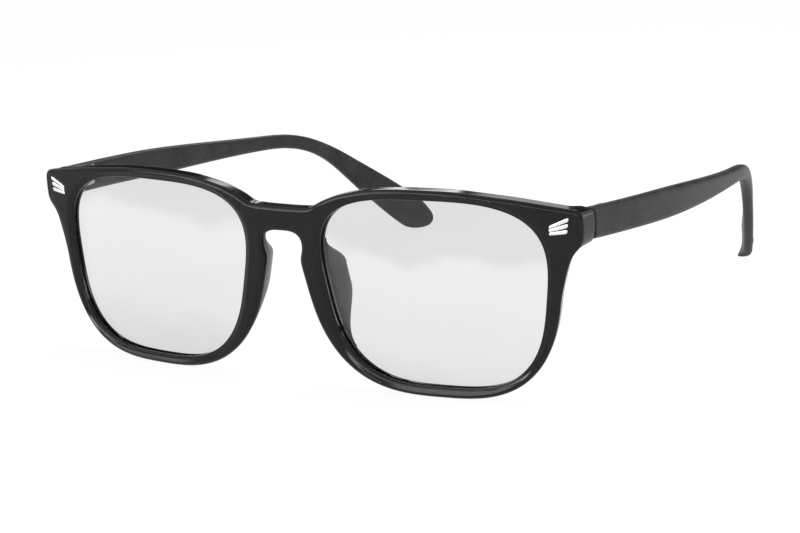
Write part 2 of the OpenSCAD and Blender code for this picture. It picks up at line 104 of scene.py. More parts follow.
def hermite(points: Array, t: Array) -> Array:
    """Smooth curve through rows of points, whose first column is the parameter.

    Between two rows it is the cubic with the values at both ends and the slopes of the chords
    over their neighbours, as the solids use.

    Args:
        points: (n, k) rows, with one more row than needed at both ends.
        t: Row numbers with their fractions, counted from the second row.

    Returns:
        (len(t), k) points.
    """
    i = np.minimum(np.floor(t).astype(int), len(points) - 4)
    f = (t - i)[:, None]
    before, a, b, after = points[i], points[i + 1], points[i + 2], points[i + 3]
    w = b[:, :1] - a[:, :1]
    m = (b - before) / (b[:, :1] - before[:, :1]) * w
    n = (after - a) / (after[:, :1] - a[:, :1]) * w
    return (a * (2 * f**3 - 3 * f**2 + 1) + m * (f**3 - 2 * f**2 + f)
            + b * (3 * f**2 - 2 * f**3) + n * (f**3 - f**2))


def fan(loop: Array, centre: int) -> Array:
    """Triangles from a loop of points to one centre point."""
    return np.stack([loop, np.roll(loop, -1), np.full_like(loop, centre)], axis=-1)


def capped(grid: Array, ends: Array | None = None, start: int = 0) -> Surface:
    """Joins a stack of closed rings by quads and closes both ends with fans.

    Args:
        grid: (rings, corners, 3) places.
        ends: (2, 3) middles of the first and last ring, or none for the means of their places.
        start: Number of the first point.

    Returns:
        (n, 3) points, (m, 4) quads and (k, 3) triangles.
    """
    n, m = grid.shape[:2]
    if ends is None:
        ends = grid[[0, -1]].mean(axis=1)
    row, c = np.arange(n - 1)[:, None] * m + start, np.arange(m)[None, :]
    c2 = (c + 1) % m
    quads = np.stack([row + c, row + c2, row + m + c2, row + m + c], axis=-1)
    loop, centre = np.arange(m) + start, start + n * m
    triangles = np.concatenate([fan(loop[::-1], centre), fan(loop + (n - 1) * m, centre + 1)])
    return np.concatenate([grid.reshape(-1, 3), ends]), quads.reshape(-1, 4), triangles


def signed_volume(points: Array, quads: Array, triangles: Array) -> float:
    """Volume inside the faces, by their corners' triple products: negative if inside out."""
    t = points[np.concatenate([triangles, quads[:, [0, 1, 2]], quads[:, [0, 2, 3]]])]
    return float(np.einsum("ij,ij->i", t[:, 0], np.cross(t[:, 1], t[:, 2])).sum() / 6.0)


def make_piece(name: str, points: Array, quads: Array, triangles: Array,
               crease_deg: float) -> Object:
    """Puts points and faces into a new object, turned outwards and shaded smooth.

    Args:
        name: The piece's name.
        points: (n, 3) places in metres.
        quads: (m, 4) point numbers.
        triangles: (k, 3) point numbers.
        crease_deg: Faces that meet at more than this angle keep a crisp edge.

    Returns:
        The new object.
    """
    if signed_volume(points, quads, triangles) < 0.0:
        quads, triangles = quads[:, ::-1], triangles[:, ::-1]
    used = np.unique(np.concatenate([quads.ravel(), triangles.ravel()]))
    number = np.zeros(len(points), int)
    number[used] = np.arange(len(used))
    loops = np.concatenate([number[quads].ravel(), number[triangles].ravel()]).astype(np.int32)
    sizes = np.concatenate([np.full(len(quads), 4), np.full(len(triangles), 3)])
    mesh = bpy.data.meshes.new(name)
    mesh.vertices.add(len(used))
    mesh.vertices.foreach_set("co", points[used].astype(np.float32).ravel())
    mesh.loops.add(len(loops))
    mesh.loops.foreach_set("vertex_index", loops)
    mesh.polygons.add(len(sizes))
    mesh.polygons.foreach_set("loop_start", (np.cumsum(sizes) - sizes).astype(np.int32))
    mesh.update(calc_edges=True)
    mesh.polygons.foreach_set("use_smooth", np.ones(len(sizes), bool))
    mesh.validate()
    mesh.set_sharp_from_angle(angle=math.radians(crease_deg))
    piece = bpy.data.objects.new(name, mesh)
    bpy.context.scene.collection.objects.link(piece)
    return piece


@dataclass(frozen=True)
class Stand:
    """Sets the layout down on the bottoms of the rims and the undersides of the tips."""

    lean_deg: float = -1.09335
    floor_z: float = -23.6923
    mid_y: float = 75.1311

    def place(self, points: Array, side: Side) -> Array:
        """Layout millimetres to metres in the object's frame.

        The points are mirrored for the wearer's right, turned about X by the lean and moved so
        that the lowest ones lie at height 0 and the depth is centred.

        Args:
            points: (..., 3) layout places of a left piece.
            side: The side that the piece goes to.

        Returns:
            (n, 3) places in metres.
        """
        x, y, z = points.reshape(-1, 3).T
        c, s = math.cos(math.radians(self.lean_deg)), math.sin(math.radians(self.lean_deg))
        deep, high = y * c + z * s - self.mid_y, z * c - y * s - self.floor_z
        return vec(x * side.value, deep, high) * MM


# ---- the rim's outline
@dataclass(frozen=True)
class EyeShape:
    """The lens opening, its groove and the front's outline round it, in layout millimetres.

    Angles run from the end piece (0 and 360) over the brow (90) and the nose (180), seen from the
    opening's centre. The outline starts at `arch_a` under the bridge and ends at `top_a` on it.
    """

    front_t: float = 3.9
    face_r: float = 340.0
    opening_w: float = 52.1
    opening_h: float = 42.3
    lens_gap: float = 21.3
    end_reach: float = 8.25
    eye_drop: float = 0.7
    squareness: float = 3.1
    brow_taper: float = 0.125
    eye_lean: float = 0.046
    rim_w: float = 1.9
    brow_w: float = 0.1
    side_w: float = 0.9
    nose_step: float = 0.9
    keyhole_w: float = 10.1
    keyhole_z: float = 11.3
    pinch: float = 0.6
    bridge_z: float = 16.85
    bridge_half_w: float = 7.3
    end_top: float = 19.2
    end_low: float = 11.7
    return_l: float = 2.5
    groove_y: float = 2.1
    groove_d: float = 0.6
    arch_a: float = 149.0
    top_a: float = 506.0

    @property
    def half_w(self) -> float:
        """Half the front's width: half the gap, one opening and one end piece."""
        return self.lens_gap / 2 + self.opening_w + self.end_reach

    @property
    def eye_x(self) -> float:
        """Distance of an opening's centre from the middle."""
        return (self.lens_gap + self.opening_w) / 2

    @property
    def joint_y(self) -> float:
        """Depth at which the end piece meets the temple."""
        return float(self.front_t + self.sag(self.half_w) + self.return_l)

    @property
    def end_mid(self) -> float:
        """Height of the end piece's middle."""
        return (self.end_low + self.end_top) / 2

    def sag(self, x: Array) -> Array:
        """Depth of the face curve at x: a circle's rise, r - sqrt(r*r - x*x)."""
        return self.face_r - np.sqrt(self.face_r**2 - x * x)

    def opening(self, a: Array) -> Array:
        """Edge of the opening: a superellipse, wider towards the brow and leaning in.

        Args:
            a: Angles in degrees.

        Returns:
            (..., 2) X and Z.
        """
        (c, s), n = cos_sin(a), self.squareness
        p = np.abs(c * 2 / self.opening_w) ** n + np.abs(s * 2 / self.opening_h) ** n
        r = p ** (-1 / n)
        x, z = r * c, r * s
        taper = self.brow_taper * z * 2 / self.opening_h
        across = self.eye_x + x * (1 + taper) - self.eye_lean * z
        return vec(across, z - self.eye_drop)

    def outwards(self, a: Array) -> Array:
        """Direction away from the opening, square to its edge."""
        d = self.opening(a + 0.5) - self.opening(a - 0.5)
        return unit(vec(d[..., 1], -d[..., 0]))

    def rim_edge(self, a: Array) -> Array:
        """Outer edge of the plain rim: the opening's edge moved out by the rim's width.

        Args:
            a: Angles in degrees.

        Returns:
            (..., 2) X and Z.
        """
        c, s = cos_sin(a)
        nose_w = self.lens_gap / 2 - self.keyhole_w / 2 - self.rim_w - self.nose_step
        width = (self.rim_w + self.brow_w * np.maximum(0, s) ** 2
                 + nose_w * np.maximum(0, -c) ** 6 + self.side_w * np.maximum(0, c) ** 12)
        return self.opening(a) + self.outwards(a) * width[..., None]

    def guides(self) -> Array:
        """What the outline passes: arch, rim, end piece, brow and bridge, in shares of their sizes.

        Returns:
            (n, 3) rows of angle, X and Z.
        """
        nose, half, low, top = self.keyhole_w / 2, self.half_w, self.end_low, self.end_top
        reach, tall, wide = self.end_reach, top - low, self.bridge_half_w

        def rim(first: float, last: float, count: int) -> Array:
            """Guide rows on the plain rim at even angles."""
            a = np.linspace(first, last, count)
            return np.column_stack([a, self.rim_edge(a)])

        arch = np.array([[self.arch_a, 0, 0], [152, 0.46, 0.01], [156.5, 0.85, 0.16],
                         [161, 1.01, 0.46], [165, 1, 0.86], [169, 1, 1.25],
                         [176, 1.04, 1.98]]) * [1, nose, -nose]
        arch += [0, 0, self.keyhole_z]
        arch[5, 1] -= self.pinch
        low_end = np.array([[370, 0.47, 0.77], [374, 0.34, 0.37], [377, 0.19, 0.15],
                            [379.5, 0.07, 0], [383, 0.01, -0.25]]) * [1, -reach, -tall]
        low_end += [0, half, low]
        top_end = np.array([[386.5, 0, -0.32], [389, 0.025, -0.13], [391.5, 0.14, 0],
                            [395, 0.485, 0.055], [401, 1.09, 0.15],
                            [408, 1.82, 0.26]]) * [1, -reach, tall]
        top_end += [0, half, top]
        bridge = np.array([[493, 1.99, 0.45], [496, 1.49, 0.26], [499, 1.16, 0.07],
                           [503, 0.84, 0.01], [self.top_a, 0, 0]]) * [1, wide, wide]
        bridge += [0, 0, self.bridge_z]
        return np.concatenate([arch, rim(186, 354, 15), rim(362, 362, 1), low_end, top_end,
                               rim(420, 480, 6), rim(490, 490, 1), bridge])

    def outline(self, steps: int) -> Array:
        """The outline through the guides, eased by a running mean.

        Args:
            steps: Steps between one guide and the next.

        Returns:
            (n, 3) rows of angle, X and Z.
        """
        g = self.guides()
        first = np.array([2 * g[0, 0] - g[1, 0], -g[1, 1], g[1, 2]])
        final = np.array([2 * g[-1, 0] - g[-2, 0], -g[-2, 1], g[-2, 2]])
        rows = np.vstack([first, g, final])
        line = hermite(rows, np.linspace(0, len(g) - 1, (len(g) - 1) * steps + 1))
        for _ in range(steps * 2):
            inner = line[1:-1] + ((line[:-2] + line[2:]) / 2 - line[1:-1]) * 0.5
            line = np.vstack([line[:1], inner, line[-1:]])
            line[0, 2] = mix(line[0, 2], line[1, 2], 0.5)
            line[-1, 2] = mix(line[-1, 2], line[-2, 2], 0.5)
        return line


# ---- the pieces
@dataclass(frozen=True)
class Part:
    """What the pieces have in common: the outline they follow, and how they are set down."""

    shape: EyeShape
    stand: Stand

    def paired(self, name: str, side: Side, surface: Surface, crease_deg: float) -> Object:
        """A piece of one side, from a left piece's points, quads and triangles."""
        points, quads, triangles = surface
        return make_piece(name, self.stand.place(points, side), quads, triangles, crease_deg)


@dataclass(frozen=True)
class Front(Part):
    """The one-piece front: both rims, the keyhole bridge and the end pieces.

    The stretches are angles and lengths of angle, as `window` takes them.
    """

    edge_r: float = 0.9
    nose_roll: float = 0.6
    heel_share: float = 0.8
    end_heel_r: float = 0.6
    lip_r: float = 0.4
    lip_in: float = 0.3
    least_flat: float = 0.1
    side_draft: float = 0.8
    low_draft: float = 0.7
    nose_draft: float = 1.3
    end_draft: float = 0.6
    return_t: float = 3.4
    return_rise: Stretch = (377.6, 1.2)
    return_fall: Stretch = (393.6, 1.3)
    near_rise: Stretch = (371.0, 6.0)
    near_fall: Stretch = (395.0, 6.0)
    rim_share: float = 0.33
    end_share: float = 0.06
    block_high: float = 0.86
    block_step: float = 0.8
    bevel_w: float = 1.35
    bevel_d: float = 0.42
    groove_half_w: float = 0.75
    steps: int = 9
    seam_n: int = 12
    lip_n: int = 8
    edge_n: int = 16

    def roll(self, a: Array) -> Array:
        """Radius of the rolled front edge, larger beside the nose."""
        return self.edge_r * (1 + self.nose_roll * np.maximum(0, -cos_sin(a)[0]) ** 6)

    def returns(self, a: Array) -> Array:
        """1 where the end piece runs back to the temple, eased at both ends of that stretch."""
        return window(a, self.return_rise, self.return_fall)

    def draft(self, a: Array) -> Array:
        """How far the outer wall leans in towards the back: at the side, below and by the nose.

        Args:
            a: Outline angles. The side's value ends at 385 on the end piece, the nose's at 270.

        Returns:
            Millimetres, none where the end piece runs back.
        """
        c, s = cos_sin(a)
        below = np.where(a < 385, self.side_draft * np.maximum(0, c) ** 2, 0.0)
        nose = np.where(a < 270, self.nose_draft * np.maximum(0, -c) ** 2, 0.0)
        return (below + nose + self.low_draft * np.maximum(0, -s) ** 2) * (1 - self.returns(a))

    def columns(self) -> tuple[Array, int]:
        """Outline columns, and after them the ones down the bridge's middle.

        Returns:
            (n, 4) rows of angle, X, front Z and back Z, and the number of the first middle one.
        """
        s = self.shape
        line = s.outline(self.steps)
        heel = self.heel_share * self.edge_r
        f = np.arange(1, self.seam_n + 1) / (self.seam_n + 1)
        top, arch = line[-1, 2], line[0, 2]
        a_top, a_arch = np.array(s.top_a), np.array(s.arch_a)
        seam = np.column_stack([
            mix(s.top_a, s.arch_a + 360, f), np.zeros_like(f),
            mix(top - self.roll(a_top), arch + self.roll(a_arch), f),
            mix(top - heel - self.draft(a_top), arch + heel + self.draft(a_arch), f)])
        return np.vstack([np.column_stack([line, line[:, 2]]), seam]), len(line)

    def sections(self) -> tuple[Array, int, int, int]:
        """All sections of the left half.

        Each runs from the lip at the opening over the bevel and the front face, round the rolled
        edge, down the outer wall, round the heel, over the back face and through the lens groove.
        Edges are quarter circles.

        Returns:
            (columns, rows, 3) layout places, the first middle column, and the rows at which the
            front face ends and the back face starts.
        """
        s = self.shape
        cols, first_seam = self.columns()
        a, q, back_z = cols[:, 0], cols[:, 1:3], cols[:, 3]
        seam = np.arange(len(cols)) >= first_seam
        seat, n = s.opening(a), s.outwards(a)
        p = seat - n * self.lip_in
        d = np.roll(q, -1, axis=0) - np.roll(q, 1, axis=0)
        d[first_seam:] = 1.0
        m = unit(vec(d[:, 1], -d[:, 0]))
        m[0] = [0, -1]
        m[first_seam - 1:] = [0, 1]
        width = np.linalg.norm(q - p, axis=-1)
        back_on = self.returns(a)
        r = np.where(seam, 0, np.minimum(self.roll(a), width - self.lip_r - self.least_flat))
        top_edge = self.end_draft * back_on * np.maximum(0, m[:, 1]) ** 2
        lean_in = np.where(seam, q[:, 1] - back_z, self.draft(a) + top_edge)
        heel_r = mix(self.heel_share * self.edge_r, self.end_heel_r, back_on)
        b = np.where(seam, 0, np.minimum(heel_r, width - self.lip_r - self.least_flat - lean_in))
        front_y = s.sag(q[:, 0])
        back = mix(s.front_t + front_y, s.joint_y, back_on)
        lip = p + n * self.lip_r
        heel = q - m * (lean_in + b)[:, None]
        near = window(a, self.near_rise, self.near_fall)
        beside = mix(self.rim_share, self.end_share, near)[:, None]
        on = back_on[:, None]
        block = vec(np.full_like(a, s.half_w - self.return_t),
                    mix(s.end_mid, heel[:, 1], self.block_high))
        inner = mix(mix(heel, lip, beside), block, on)
        foot = mix(mix(heel, lip, 2 * beside), block - [self.block_step, 0], on)
        inner_y = mix(s.front_t + s.sag(inner[:, 0]), s.joint_y, back_on)

        rows: list[Array] = []

        def add(v: Array, y: Array) -> None:
            """Adds one row of the sections."""
            rows.append(vec(v[:, 0], y, v[:, 1]))

        arc = np.radians(np.linspace(0, 90, self.lip_n))
        long_arc = np.radians(np.linspace(0, 90, self.edge_n))
        lip_y = s.sag(p[:, 0])
        reach = np.minimum(self.bevel_w, np.maximum(width - r, self.lip_r + 0.2)) - self.lip_r
        drop = self.bevel_d * reach / (self.bevel_w - self.lip_r)
        for t in arc:
            add(p + n * (self.lip_r * (1 - math.cos(t))),
                lip_y + drop + self.lip_r * (1 - math.sin(t)))
        start = q - m * r[:, None]
        long_way = np.linalg.norm(start - lip, axis=-1)
        for f in (0.3, 0.6, 0.8, 1.0):
            share = f * np.minimum(reach / long_way, 1.0)
            v = mix(lip, start, share[:, None])
            add(v, s.sag(v[:, 0]) + drop * (1 - f))
        for f in (0.15, 0.4, 0.65, 0.85):
            share = mix(np.minimum(reach / long_way, 0.97), 1.0, f)
            v = mix(lip, start, share[:, None])
            add(v, s.sag(v[:, 0]))
        face_row = len(rows)
        for t in long_arc:
            add(q - m * (r * (1 - math.sin(t)))[:, None], front_y + r * (1 - math.cos(t)))
        for f in (0.2, 0.4, 0.6, 0.8):
            add(q - m * (lean_in * f)[:, None], mix(front_y + r, back - b, f))
        for t in long_arc:
            add(q - m * (lean_in + b * (1 - math.cos(t)))[:, None], back - b * (1 - math.sin(t)))
        heel_row = len(rows) - 1
        for f in (0.35, 0.7):
            add(mix(heel, inner, f), mix(back, inner_y, f))
        add(inner, inner_y)
        for f in (0.1, 0.35, 0.7):
            add(mix(inner, foot, f), mix(inner_y, s.front_t + s.sag(foot[:, 0]), f))
        add(foot, s.front_t + s.sag(foot[:, 0]))
        for f in (0.3, 0.6, 0.9):
            v = mix(foot, lip, f)
            add(v, s.front_t + s.sag(v[:, 0]))
        for t in arc:
            add(p + n * (self.lip_r * (1 - math.sin(t))),
                s.front_t + lip_y - self.lip_r * (1 - math.cos(t)))
        seat_y = s.sag(seat[:, 0]) + s.groove_y
        add(p, seat_y + self.groove_half_w)
        add(seat, seat_y + self.groove_half_w)
        add(seat + n * s.groove_d, seat_y)
        add(seat, seat_y - self.groove_half_w)
        add(p, seat_y - self.groove_half_w)
        return np.stack(rows, axis=1), first_seam, face_row, heel_row

    def build(self) -> Object:
        """Joins the left half and its mirror image over the shared columns of the bridge's middle.

        Returns:
            The new piece.
        """
        grid, first_seam, face_row, heel_row = self.sections()
        columns, rows = grid.shape[:2]
        number = np.arange(columns * rows).reshape(columns, rows)
        middle = np.zeros((columns, rows), bool)
        middle[[0, *range(first_seam - 1, columns)], face_row:heel_row + 1] = True
        grid[middle, 0] = 0.0
        other = np.where(middle, number, number + columns * rows)
        c, r = np.meshgrid(np.arange(columns), np.arange(rows), indexing="ij")
        keep = ~((c >= first_seam - 1) & (r >= face_row) & (r < heel_row))
        c, r = c[keep], r[keep]
        c2, r2 = (c + 1) % columns, (r + 1) % rows
        left = np.stack([number[c, r], number[c2, r], number[c2, r2], number[c, r2]], axis=-1)
        right = np.stack([other[c, r], other[c, r2], other[c2, r2], other[c2, r]], axis=-1)
        points = np.concatenate([self.stand.place(grid, side) for side in Side])
        piece = make_piece("front_frame_shell", points, np.concatenate([left, right]),
                           np.zeros((0, 3), int), crease_deg=62)
        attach(piece, "front")
        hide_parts("front_frame")
        return piece


@dataclass(frozen=True)
class Lens(Part):
    """A lens: a curved shell of even thickness with a bevelled edge in the rim's groove."""

    edge_t: float = 1.3
    bulge: float = 1.9
    play: float = 0.09
    columns: int = 240
    bowl_n: int = 20

    def ring(self, a: Array, f: float, y: float, out: float) -> Array:
        """One ring of the bulging bowl, with the edge's shape drawn in.

        Args:
            a: Angles in degrees.
            f: Share of the way from the centre to the edge.
            y: Depth of the edge behind the face curve.
            out: How far the edge stands outside the opening.

        Returns:
            (len(a), 3) layout places.
        """
        s = self.shape
        c = np.array([s.eye_x, -s.eye_drop])
        p = s.opening(a) + s.outwards(a) * out
        q = mix(c, p, f)
        flat = mix(s.sag(c[0]), s.sag(p[:, 0]), f)
        return vec(q[:, 0], flat + y - self.bulge * (1 - f * f), q[:, 1])

    def grid(self) -> tuple[Array, Array, int]:
        """Rings from the front's centre outwards, round the bevel and in again.

        Returns:
            (rings, corners, 3) layout places, both centre points, and the front's last ring.
        """
        s = self.shape
        a = np.linspace(0, 360, self.columns, endpoint=False)
        front, back = s.groove_y - self.edge_t / 2, s.groove_y + self.edge_t / 2
        shares = np.concatenate([np.linspace(0.02, 0.94, self.bowl_n), [0.975, 1.0]])
        rings = [self.ring(a, f, front, -self.play) for f in shares]
        rings += [self.ring(a, 1.0, s.groove_y, s.groove_d - self.play)]
        rings += [self.ring(a, f, back, -self.play) for f in shares[::-1]]
        ends = np.array([[s.eye_x, s.sag(s.eye_x) + y - self.bulge, -s.eye_drop]
                         for y in (front, back)])
        return np.stack(rings), ends, len(shares) - 1

    def build(self, side: Side) -> Object:
        """Makes the shell from its rings, with the bevel's faces numbered 1.

        Args:
            side: The wearer's side.

        Returns:
            The new piece.
        """
        grid, ends, edge_ring = self.grid()
        piece = self.paired(f"lens_{side.word}_shell", side, capped(grid, ends), crease_deg=35)
        first = edge_ring * self.columns
        on_edge = np.zeros(len(piece.data.polygons), np.int32)
        on_edge[first:first + 2 * self.columns] = 1
        piece.data.polygons.foreach_set("material_index", on_edge)
        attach(piece, "front")
        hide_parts(f"lens_{side.word}")
        return piece


@dataclass(frozen=True)
class NosePad(Part):
    """A crescent pad on the back of the rim beside the nose."""

    height: float = 6.6
    edge_h: float = 0.15
    start: float = 157.5
    crest: float = 171.5
    fall: float = 183.0
    end: float = 211.0
    bond: float = 0.05
    splay: float = 0.13
    count: int = 110
    corner_n: int = 41

    def outer(self, a: Array) -> Array:
        """Outer outline of the rim at the angles a."""
        angle, x, z = self.shape.outline(8).T
        return vec(np.interp(a, angle, x), np.interp(a, angle, z))

    def grid(self) -> Array:
        """Carries a rounded profile along the rim.

        Its height swells from the start to the crest and fades from the fall to the end, both by
        the easing curve, and the pad leans away from the nose by its splay times the height.

        Returns:
            (sections, corners, 3) layout places.
        """
        s = self.shape
        corners = np.array([[0.9, 0], [1, 0.3], [1.06, 0.66], [1, 0.92], [0.84, 1], [0.64, 0.88],
                            [0.46, 0.6], [0.34, 0.25], [0.32, 0]], float)
        t = np.arange(len(corners), dtype=float)[:, None]
        rows = np.hstack([t, corners])
        rows = np.vstack([2 * rows[0] - rows[1], rows, 2 * rows[-1] - rows[-2]])
        profile = hermite(rows, np.linspace(0, len(corners) - 1, self.corner_n))[:, 1:]
        f = np.linspace(0, 1, self.count)
        a = mix(self.start, self.end, f)
        p, q = s.opening(a), self.outer(a)
        swell = smooth((a - self.start) / (self.crest - self.start))
        fade = 1 - smooth((a - self.fall) / (self.end - self.fall))
        h = self.edge_h + self.height * swell * fade
        away = unit(p - q) * (self.splay * h)[:, None]
        v = (q[:, None] + (p - q)[:, None] * profile[None, :, :1]
             + away[:, None] * profile[None, :, 1:])
        y = s.front_t + self.bond + s.sag(v[..., 0]) + h[:, None] * profile[None, :, 1]
        return vec(v[..., 0], y, v[..., 1])

    def build(self, side: Side) -> Object:
        """Makes the pad from its sections.

        Args:
            side: The wearer's side.

        Returns:
            The new piece.
        """
        surface = capped(self.grid())
        piece = self.paired(f"nose_pad_{side.word}_shell", side, surface, crease_deg=60)
        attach(piece, "front")
        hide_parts(f"nose_pad_{side.word}")
        return piece


@dataclass(frozen=True)
class Temple(Part):
    """A temple: a rounded bar that bows inwards, bends down behind the ear and has a broad tip.

    Starts and runs are lengths along the bar, and the tip's start counts from the ear's. The height
    falls to the waist over the taper and grows over the tip's run. The thickness falls over the
    thinning's run.
    """

    joint_gap: float = 0.3
    inset: float = 0.05
    drop: float = 0.4
    length: float = 148.0
    thick: float = 3.4
    tip_thick: float = 2.4
    height: float = 6.9
    waist: float = 3.7
    tip_height: float = 9.1
    splay: float = 7.4
    bow: float = 31.0
    tip_turn: float = 4.7
    turn_run: float = 20.0
    pitch: float = 5.5
    ear_drop: float = 34.2
    ear_start: float = 81.0
    ear_run: float = 35.0
    taper_start: float = 28.0
    taper_run: float = 60.0
    tip_start: float = 18.0
    tip_run: float = 40.0
    thin_start: float = 60.0
    thin_run: float = 80.0
    square_l: float = 6.0
    tip_cut: float = 9.0
    tip_round: float = 3.0
    edge_r: float = 1.3
    end_bevel: Triple = (0.25, 0.08, 0.0)
    path_step: float = 0.1
    bar_n: int = 190
    tip_n: int = 14
    side_n: int = 16

    def direction(self, s: Array) -> Array:
        """Unit direction of the bar, from its heading and its descent.

        Args:
            s: Lengths along the bar.

        Returns:
            (len(s), 3) directions.
        """
        past = s - self.ear_start
        turn = self.tip_turn * smooth(past / self.turn_run)
        heading = np.radians(self.splay - self.bow * s / self.length - turn)
        fall = np.radians(self.pitch + self.ear_drop * smooth(past / self.ear_run))
        return vec(np.sin(heading) * np.cos(fall), np.cos(heading) * np.cos(fall), -np.sin(fall))

    def path(self, s: Array) -> Array:
        """Middle of the bar: the running sum of its directions.

        Args:
            s: Lengths along the bar.

        Returns:
            (len(s), 3) layout places.
        """
        e, step = self.shape, self.path_step
        t = np.arange(0, self.length, step)
        start = np.array([e.half_w - self.thick / 2 - self.inset, e.joint_y + self.joint_gap,
                          e.end_mid - self.drop])
        walk = np.vstack([start, start + np.cumsum(self.direction(t + step / 2) * step, axis=0)])
        knots = np.append(t, self.length)
        return vec(*(np.interp(s, knots, walk[:, k]) for k in range(3)))

    def grid(self) -> tuple[Array, Array]:
        """Carries a rounded rectangle along the path, its height and thickness eased between sizes.

        The first sections are square to the end piece and bevelled. The last ones are rounded off
        and turned towards the level, so that the tip looks cut across.

        Returns:
            (sections, corners, 3) layout places, and the middles of both ends.
        """
        end_arc = np.sin(np.radians(np.linspace(0, 90, self.tip_n)))
        s = np.concatenate([[0, 0.12, 0.3, 0.6], np.linspace(1.5, self.length - 3.6, self.bar_n),
                            self.length - self.tip_round + self.tip_round * end_arc])
        taper = 1 - smooth((s - self.taper_start) / self.taper_run)
        grow = smooth((s - self.ear_start - self.tip_start) / self.tip_run)
        tall = (self.waist + (self.height - self.waist) * taper
                + (self.tip_height - self.waist) * grow)
        past = np.maximum(0, (s - self.length + self.tip_round) / self.tip_round)
        fade = np.sqrt(np.maximum(0.05, 1 - past**2))
        trim = np.zeros_like(s)
        trim[:len(self.end_bevel)] = self.end_bevel
        thin = smooth((s - self.thin_start) / self.thin_run)
        half_h = tall / 2 * fade - trim
        half_t = mix(self.thick, self.tip_thick, thin) / 2 * mix(1.0, fade, 0.6) - trim
        backwards = np.array([0.0, 1.0, 0.0])
        d = unit(mix(backwards, self.direction(s), smooth(s / self.square_l)[:, None]))
        out = unit(vec(d[:, 1], -d[:, 0], np.zeros_like(s)))
        cut = smooth((s - self.length + self.tip_cut) / self.tip_cut)[:, None]
        up = unit(mix(np.cross(out, d), backwards, cut * 0.8))
        r_x = np.minimum(self.edge_r, half_t * 0.8)
        r_z = np.minimum(r_x, half_h * 0.9)
        arc = np.radians(np.linspace(0, 90, self.side_n))
        centre = self.path(s)
        parts: list[Array] = []
        for k, (sx, sz) in enumerate(((1, 1), (-1, 1), (-1, -1), (1, -1))):
            t = arc + math.pi / 2 * k
            x = sx * (half_t - r_x)[:, None] + r_x[:, None] * np.cos(t)
            z = sz * (half_h - r_z)[:, None] + r_z[:, None] * np.sin(t)
            parts.append(centre[:, None] + out[:, None] * x[..., None] + up[:, None] * z[..., None])
        return np.concatenate(parts, axis=1), np.stack([centre[0], centre[-1] + d[-1] * 0.15])

    def build(self, side: Side) -> Object:
        """Makes the temple from its sections.

        Args:
            side: The wearer's side.

        Returns:
            The new piece.
        """
        surface = capped(*self.grid())
        piece = self.paired(f"temple_{side.word}_bar", side, surface, crease_deg=60)
        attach(piece, f"temple_{side.word}")
        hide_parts(f"temple_{side.word}")
        return piece


@dataclass(frozen=True)
class Inlay(Part):
    """Three silver rays that fan out on the face of the end piece."""

    rays: int = 3
    inward: float = 3.1
    above: float = 2.2
    length: float = 3.95
    wide: float = 3.9
    narrow: float = 2.1
    gap_in: float = 0.02
    gap_out: float = 0.32
    rise: float = 0.085
    spread: float = 0.13
    proud: float = 0.4
    sunk: float = 0.1
    end_power: float = 16
    ring_power: float = 0.75

    def ray(self, k: int) -> Array:
        """One ray: a long flattened bead, wider outwards, with rounded ends.

        Rings stand along its length. Half of the width and height at each are those of the ray
        there times (1 - |e|^16)^(1/2), with e running from -1 to 1, and the ring is a superellipse.
        The whole fan rises outwards by the share `rise` of its length, and its outer ends lean out
        by `spread`.

        Args:
            k: The ray's number, from the bottom.

        Returns:
            (rings, corners, 3) places from the inlay's low inner corner.
        """
        e = np.sin(np.radians(np.linspace(-86, 86, 40)))
        f = (e + 1) / 2
        fade = np.sqrt(1 - np.abs(e) ** self.end_power)
        share = mix(self.narrow, self.wide, f) / self.rays
        half_w = (share - mix(self.gap_in, self.gap_out, f)) / 2 * fade
        half_t = (self.proud + self.sunk) / 2 * mix(0.55, 1.0, fade)
        t = np.linspace(0, 2 * math.pi, 32, endpoint=False)
        round_x, round_y = (np.sign(v) * np.abs(v)**self.ring_power for v in (np.cos(t), np.sin(t)))
        along = np.broadcast_to((f * self.length)[:, None], (len(f), len(t)))
        up = (share * (k + 0.5))[:, None] + half_w[:, None] * round_x
        x = along + self.spread * up * f[:, None]
        z = up + self.rise * along
        y = -(self.proud - self.sunk) / 2 - half_t[:, None] * round_y
        return vec(x, y, z)

    def build(self, side: Side) -> Object:
        """Makes the rays and turns them onto the face curve.

        Args:
            side: The wearer's side.

        Returns:
            The new piece.
        """
        s = self.shape
        mid = s.half_w - self.inward - self.length + self.length / 2
        slope = math.asin(mid / s.face_r)
        points, quads, triangles, count = [], [], [], 0
        for k in range(self.rays):
            for part, new in zip((points, quads, triangles), capped(self.ray(k), start=count)):
                part.append(new)
            count += len(points[-1])
        v = np.concatenate(points) - [self.length / 2, 0, 0]
        turned = vec(v[:, 0] * math.cos(slope) - v[:, 1] * math.sin(slope),
                     v[:, 0] * math.sin(slope) + v[:, 1] * math.cos(slope), v[:, 2])
        turned += [mid, float(s.sag(mid)), s.end_low + self.above]
        surface = turned, np.concatenate(quads), np.concatenate(triangles)
        piece = self.paired(f"inlay_{side.word}_rays", side, surface, crease_deg=70)
        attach(piece, "front")
        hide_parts(f"inlay_{side.word}")
        return piece


# ---- finishes
def math_node(tree: NodeTree, operation: str) -> Node:
    """A new math node.

    Args:
        tree: Where it is added.
        operation: What it works out.

    Returns:
        The node.
    """
    node = tree.nodes.new("ShaderNodeMath")
    node.operation = operation
    return node


def put(node: Node, values: dict[str | int, float | Tint]) -> None:
    """Sets a node's inputs, given by name or number."""
    for key, value in values.items():
        node.inputs[key].default_value = value


def join(tree: NodeTree, *rows: Link) -> None:
    """Links nodes: each row has a node and its output, then a node and its input."""
    for source, out, sink, into in rows:
        tree.links.new(source.outputs[out], sink.inputs[into])


